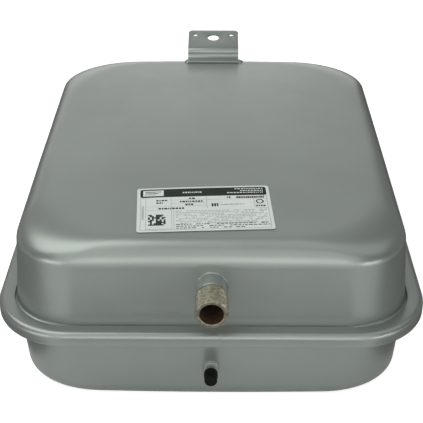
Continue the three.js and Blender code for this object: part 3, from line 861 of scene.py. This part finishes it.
def bracket_piece():
    b = BRACKET
    run = bracket_run()
    half = b["sheet"] / 2
    side = np.concatenate([run[:, :2] - run[:, 2:] * half, (run[:, :2] + run[:, 2:] * half)[::-1]])
    count = len(side)
    points = [(b["x"] + s * b["width"] / 2, y + b["front"], z + FOOT_Z) for s in (-1, 1) for y, z in side]
    faces = [tuple(range(count))[::-1], tuple(range(count, 2 * count))]
    faces += [(i, (i + 1) % count, count + (i + 1) % count, count + i) for i in range(count)]
    piece = new_piece("hanging_bracket", points, faces, PAINT, None)
    end_y, end_z = run[-1][0] + b["front"], run[-1][1] + FOOT_Z

    cos, sin = math.cos(b["tilt"]), math.sin(b["tilt"])

    def tilted(tool):
        for vertex in tool.data.vertices:
            x, y, z = vertex.co / MM
            vertex.co = Vector((b["x"] + x, end_y + y * cos - z * sin, end_z + y * sin + z * cos)) * MM
        return tool

    w, c = b["width"] / 2, b["corner"]
    turn = np.linspace(0, math.pi / 2, 9)
    right = [(w - c + c * math.cos(t), -c + c * math.sin(t)) for t in turn]
    for sign in (1, -1):
        plan = [(w + 1, 1), (w - c, 1), *right[::-1], (w + 1, -c)]
        cut = [(sign * x, y) for x, y in plan]
        boolean(piece, tilted(prism("corner_tool", cut if sign > 0 else cut[::-1], -6, 6)))
    for radius, x, back in ((6.4, 0, 15.4), (2.5, -20.1, 9.6), (2.5, 20.1, 9.6)):
        around = np.linspace(0, TWO_PI, 48, endpoint=False)
        circle = [(x + radius * math.cos(t), -back + radius * math.sin(t)) for t in around]
        boolean(piece, tilted(prism("hole_tool", circle, -6, 6)))
    bevel = piece.modifiers.new("rounded_edges", "BEVEL")
    bevel.width = 0.3 * MM
    bevel.segments = 3
    bevel.limit_method = "ANGLE"
    bevel.angle_limit = math.radians(50)
    apply_modifiers(piece)
    smooth(piece, 35)
    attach(piece, "vessel")
    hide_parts("mounting_bracket")
    return piece


def foot_weld(name, side, node_name):
    """A hand-laid bead along one side of the bracket's foot, run down to the shell and tapered at both ends."""
    low, high = cad(node_name)
    stations, sides = 40, 12
    inner = BRACKET["x"] + side * (BRACKET["width"] / 2 - 0.4)
    widest = max(abs(low[0] - inner), abs(high[0] - inner)) - 0.2
    top = high[2] - 0.3
    points = []
    for station in range(stations + 1):
        t = station / stations
        y = low[1] + 0.1 + (high[1] - low[1] - 0.2) * t
        fullness = math.sqrt(max(1 - (2 * t - 1) ** 2, 0.004))
        ripple = 0.93 + 0.05 * math.sin(t * 36) + 0.1 * noise.noise(Vector((t * 4, side * 3, 0)))
        shell_z = JOINT_Z + RING_HALF_HEIGHT + WATER["depth"]
        past = max(y - (HALF_Y - WALL_INSET - WALL_DRAFT - WATER["shoulder"]), 0)
        shell_z -= WATER["shoulder"] - math.sqrt(WATER["shoulder"] ** 2 - past**2)
        for k in range(sides + 1):
            angle = k / sides * math.pi / 2
            reach = widest * fullness * ripple * math.sin(angle)
            rise = (top - shell_z) * fullness * math.cos(angle)
            points.append((inner + side * reach, y, shell_z - 0.2 + rise))
    faces = []
    for station in range(stations):
        for k in range(sides):
            a = station * (sides + 1) + k
            face = (a, a + 1, a + sides + 2, a + sides + 1)
            faces.append(face if side < 0 else face[::-1])
    return new_piece(name, points, faces, PAINT, "vessel", [node_name], 60)


bracket_piece()
foot_weld("bracket_bead_left", -1, "bracket_weld_left")
foot_weld("bracket_bead_right", 1, "bracket_weld_right")


# ---------------------------------------------------------------- rating label

LABEL = {"width": 111.7, "length": 68, "x": -5.5, "y": -139.7, "turn": math.radians(3.25)}
LABEL_Z = JOINT_Z + RING_HALF_HEIGHT + WATER["depth"]


def on_label(u, v, lift):
    """A point of the label: u to the right and v down it, both 0 to 1, `lift` above the shell."""
    across, up = (u - 0.5) * LABEL["width"], (0.5 - v) * LABEL["length"]
    cos, sin = math.cos(LABEL["turn"]), math.sin(LABEL["turn"])
    x = LABEL["x"] + across * cos - up * sin
    y = LABEL["y"] + across * sin + up * cos
    return (x, y, LABEL_Z + float(crown_height(WATER, x, y)) + lift)


def label_patch(name, patches, lift, finish):
    """Thin printed areas, each an outline of (u, v) points, laid on the label."""
    points, faces = [], []
    for patch in patches:
        first = len(points)
        points += [on_label(u, v, lift) for u, v in patch]
        faces.append(tuple(range(first, first + len(patch)))[::-1])
    return new_piece(name, points, faces, finish, "vessel")


def sheet_grid(name, low, high, corner, lift, finish, replaces=(), columns=36, rows=24):
    """A film with rounded corners, as a fine grid that follows the shell."""
    radius_u, radius_v = corner / LABEL["width"], corner / LABEL["length"]
    points, faces = [], []
    (u0, v0), (u1, v1) = low, high
    turn = np.linspace(0, math.pi / 2, 7)
    left = u0 + radius_u * (1 - np.cos(turn))[:-1]
    right = u1 - radius_u * (1 - np.sin(turn))[1:]
    us = np.concatenate([left, np.linspace(u0 + radius_u, u1 - radius_u, columns), right])
    for u in us:
        near = min(u - u0, u1 - u)
        cut = 0.0
        if near < radius_u:
            part = 1 - near / radius_u
            cut = radius_v * (1 - math.sqrt(max(1 - part * part, 0)))
        for v in np.linspace(v0 + cut, v1 - cut, rows):
            points.append(on_label(u, v, lift))
    for i in range(len(us) - 1):
        for k in range(rows - 1):
            a = i * rows + k
            faces.append((a, a + 1, a + rows + 1, a + rows))
    return new_piece(name, points, faces, finish, "vessel", replaces)


def box(u0, v0, u1, v1):
    return [(u0, v0), (u1, v0), (u1, v1), (u0, v1)]


def dashes(random_source, u0, u1, v, height, longest=0.03, gap=0.006, fill=1.0):
    """A row of plain bars that stands in for a line of print."""
    made, u = [], u0
    while u < u1 - 0.008:
        length = min(random_source.uniform(0.3, 1) * longest, u1 - u)
        if random_source.random() < fill:
            made.append(box(u, v, u + length, v + height))
        u += length + gap
    return made


CELL = (0.0142, 0.0265)


def label_piece():
    dice = random.Random(7)
    sheet_grid("label_film_sheet", (0, 0), (1, 1), 2.6, 0.45, FILM, ["rating_label"])
    sheet_grid("label_header_band", (0.024, 0.032), (0.978, 0.225), 2.0, 0.5, INK, columns=30, rows=6)
    light = []
    light.append(box(0.045, 0.062, 0.2, 0.195))
    light += dashes(dice, 0.345, 0.5, 0.115, 0.028, 0.02)
    for v, u in ((0.06, 0.74), (0.105, 0.78), (0.15, 0.68)):
        light += dashes(dice, u, 0.955, v, 0.02, 0.022)
    label_patch("label_header_marks", light, 0.54, FILM)
    dark = [box(0.062, 0.09, 0.183, 0.105), box(0.062, 0.125, 0.16, 0.14), box(0.062, 0.16, 0.14, 0.168)]
    for u in range(9):
        for v in range(9):
            if dice.random() < 0.5 or (u + v) % 5 == 0:
                left, top = 0.083 + u * CELL[0], 0.625 + v * CELL[1]
                right, low = 0.083 + (u + 0.96) * CELL[0], 0.625 + (v + 0.96) * CELL[1]
                dark.append(box(left, top, right, low))
    dark += dashes(dice, 0.145, 0.225, 0.29, 0.03, 0.02)
    dark += dashes(dice, 0.145, 0.205, 0.345, 0.03, 0.02)
    dark += dashes(dice, 0.39, 0.44, 0.255, 0.032, 0.03)
    dark += dashes(dice, 0.32, 0.49, 0.325, 0.034, 0.02)
    dark += dashes(dice, 0.36, 0.425, 0.395, 0.034, 0.02)
    dark += dashes(dice, 0.16, 0.35, 0.475, 0.034, 0.022)
    dark += dashes(dice, 0.675, 0.71, 0.25, 0.036, 0.02)
    dark += dashes(dice, 0.745, 0.965, 0.252, 0.04, 0.016, 0.003)
    dark += dashes(dice, 0.555, 0.605, 0.4, 0.07, 0.02)
    around = np.linspace(0, TWO_PI, 20, endpoint=False)
    for start in range(20):
        a, b = around[start], around[start] + TWO_PI / 20
        sector = ((0.05, a), (0.05, b), (0.034, b), (0.034, a))
        dark.append([(0.918 + r * math.cos(t) * 0.6, 0.375 + r * math.sin(t)) for r, t in sector])
    dark += dashes(dice, 0.885, 0.955, 0.46, 0.03, 0.02)
    for v in (0.925, 0.885, 0.845):
        dark += dashes(dice, 0.285, 0.965 if v < 0.9 else 0.8, v, 0.014, 0.03, 0.008, 0.75)
    label_patch("label_dark_marks", dark, 0.54, INK)
    grey = []
    for u in (0.026, 0.974):
        grey.append(box(u - 0.0018, 0.23, u + 0.0018, 0.965))
    for v in (0.236, 0.962):
        grey.append(box(0.026, v - 0.003, 0.974, v + 0.003))
    uprights = (
        (0.065, 0.24, 0.96), (0.255, 0.24, 0.96), (0.52, 0.24, 0.51), (0.875, 0.3, 0.51), (0.27, 0.53, 0.95),
    )
    for u, v0, v1 in uprights:
        grey.append(box(u - 0.0015, v0, u + 0.0015, v1))
    levels = (
        (0.3, 0.255, 0.52), (0.38, 0.255, 0.52), (0.44, 0.065, 0.52), (0.52, 0.065, 0.974), (0.31, 0.52, 0.974),
    )
    for v, u0, u1 in levels:
        grey.append(box(u0, v - 0.0022, u1, v + 0.0022))
    for v in np.arange(0.555, 0.84, 0.034):
        grey += dashes(dice, 0.285, 0.96, float(v), 0.013, 0.028, 0.007, 0.8)
    for v in np.arange(0.42, 0.74, 0.02):
        grey.append(box(0.036, float(v), 0.052, float(v) + 0.011))
    grey += dashes(dice, 0.07, 0.25, 0.935, 0.012, 0.02)
    grey += dashes(dice, 0.62, 0.8, 0.42, 0.02, 0.04)
    label_patch("label_grey_marks", grey, 0.53, GREY_INK)


label_piece()


# ---------------------------------------------------------------- camera, floor and light


def aim(thing, target):
    thing.rotation_euler = (Vector(target) - thing.location).to_track_quat("-Z", "Y").to_euler()


camera_data = bpy.data.cameras.new("camera")
camera_data.lens = 85.96
camera_data.clip_end = 100
camera = bpy.data.objects.new("camera", camera_data)
camera.location = (0.00645, -0.8609, 0.57996)
camera.rotation_euler = (math.radians(59.45), 0, math.radians(0.487))
bpy.context.scene.collection.objects.link(camera)
bpy.context.scene.camera = camera


def softbox(name, location, target, size, radiance):
    data = bpy.data.lights.new(name, "AREA")
    data.shape = "RECTANGLE"
    data.size, data.size_y = size
    data.energy = radiance * math.pi * size[0] * size[1]
    light = bpy.data.objects.new(name, data)
    light.location = location
    light.visible_camera = False
    aim(light, target)
    bpy.context.scene.collection.objects.link(light)
    return light


for name, location, target, size, radiance in [
    ("top_left", (-0.8, 0.0, 1.35), (-0.3, -0.2, 0.1), (1.0, 1.3), 2.3),
    ("top_middle", (0, -0.05, 1.35), (0, -0.2, 0.1), (0.6, 1.2), 0.5),
    ("top_right", (0.8, -0.1, 1.35), (0.3, -0.2, 0.1), (0.9, 1.2), 0.7),
    ("upper_front", (-0.1, -1.15, 1.1), (0, -0.2, 0.1), (2.2, 1.2), 1.0),
    ("front_left", (-1.5, -1.5, 0.36), (-0.1, -0.1, 0.1), (1.1, 0.5), 3.7),
    ("front_middle", (0, -2.3, 0.6), (0, -0.1, 0.1), (1.8, 1.0), 1.8),
    ("front_right", (1.5, -1.5, 0.36), (0.1, -0.1, 0.1), (1.1, 0.5), 3.8),
    ("back", (-0.2, 1.7, 0.42), (0, 0, 0.1), (2.2, 0.5), 0.5),
]:
    softbox(name, location, target, size, radiance)


def floor_sheet(name, height, glow):
    """A pale floor. `glow` lifts it towards white where the lights leave it grey."""
    made, tree, shader = material(name)
    where = place(tree)
    tone = mixed(tree, noise_value(tree, where, 3), colour(0.84, 0.84, 0.84), colour(0.88, 0.88, 0.88))
    tree.links.new(tone, shader.inputs["Base Color"])
    tree.links.new(remap(tree, noise_value(tree, where, 40), 0.3, 0.7, 0.7, 0.9), shader.inputs["Roughness"])
    shader.inputs["Specular IOR Level"].default_value = 0.1
    shader.inputs["Emission Color"].default_value = colour(1, 1, 1)
    shader.inputs["Emission Strength"].default_value = glow
    mesh = bpy.data.meshes.new(name)
    mesh.from_pydata([(-9, -9, height), (9, -9, height), (9, 9, height), (-9, 9, height)], [], [(0, 1, 2, 3)])
    mesh.materials.append(made)
    floor = bpy.data.objects.new(name, mesh)
    bpy.context.scene.collection.objects.link(floor)
    return floor


def card(name, low, high):
    """A dark grey card on the floor, which only reflections see."""
    made, tree, shader = material(name)
    tone = mixed(tree, noise_value(tree, place(tree), 5), colour(0.1, 0.1, 0.1), colour(0.14, 0.14, 0.14))
    tree.links.new(tone, shader.inputs["Base Color"])
    shader.inputs["Specular IOR Level"].default_value = 0.0
    (x0, y0), (x1, y1) = low, high
    mesh = bpy.data.meshes.new(name)
    mesh.from_pydata([(x0, y0, 0.003), (x1, y0, 0.003), (x1, y1, 0.003), (x0, y1, 0.003)], [], [(0, 1, 2, 3)])
    mesh.materials.append(made)
    sheet = bpy.data.objects.new(name, mesh)
    sheet.visible_camera = sheet.visible_diffuse = sheet.visible_shadow = sheet.visible_transmission = False
    bpy.context.scene.collection.objects.link(sheet)


# The camera sees a glowing floor, as on a lit table.
# The light that bounces up comes from a plain one just below it.
seen_floor = floor_sheet("pale_floor", 0, 0.72)
seen_floor.visible_diffuse = seen_floor.visible_glossy = seen_floor.visible_shadow = False
floor_sheet("bounce_floor", -0.001, 0).visible_camera = False
# The cards darken the vessel's turned-away edges, and the front wall just above the ring.
card("card_left", (-0.8, -0.3), (-0.185, 1.4))
card("card_right", (0.185, -0.3), (0.8, 1.4))
card("card_front", (-0.17, -0.45), (0.17, -0.34))

world = bpy.data.worlds.new("studio")
world.use_nodes = True
bpy.context.scene.world = world
tree = world.node_tree
background = tree.nodes["Background"]
outward = node(tree, "ShaderNodeTexCoord").outputs["Generated"]
direction = node(tree, "ShaderNodeSeparateXYZ", inputs={"Vector": outward}).outputs
sky = node(tree, "ShaderNodeValToRGB", inputs={"Fac": direction["Z"]})
sky.color_ramp.elements[0].position, sky.color_ramp.elements[0].color = 0.12, colour(1, 1, 1)
sky.color_ramp.elements[1].position, sky.color_ramp.elements[1].color = 0.75, colour(0.5, 0.51, 0.51)
# Bright behind the vessel and dark to its sides.
aside = arithmetic(tree, "ABSOLUTE", arithmetic(tree, "ADD", direction["X"], 0.05), 0)
middle = remap(tree, aside, 0.14, 0.5, 0.85, 0.12)
backward = remap(tree, direction["Y"], 0.15, 0.7, 0, 1)
behind = arithmetic(tree, "ADD", arithmetic(tree, "MULTIPLY", backward, middle), 0.12)
tree.links.new(sky.outputs["Color"], background.inputs["Color"])
tree.links.new(behind, background.inputs["Strength"])

bpy.context.scene.view_settings.view_transform = "Standard"
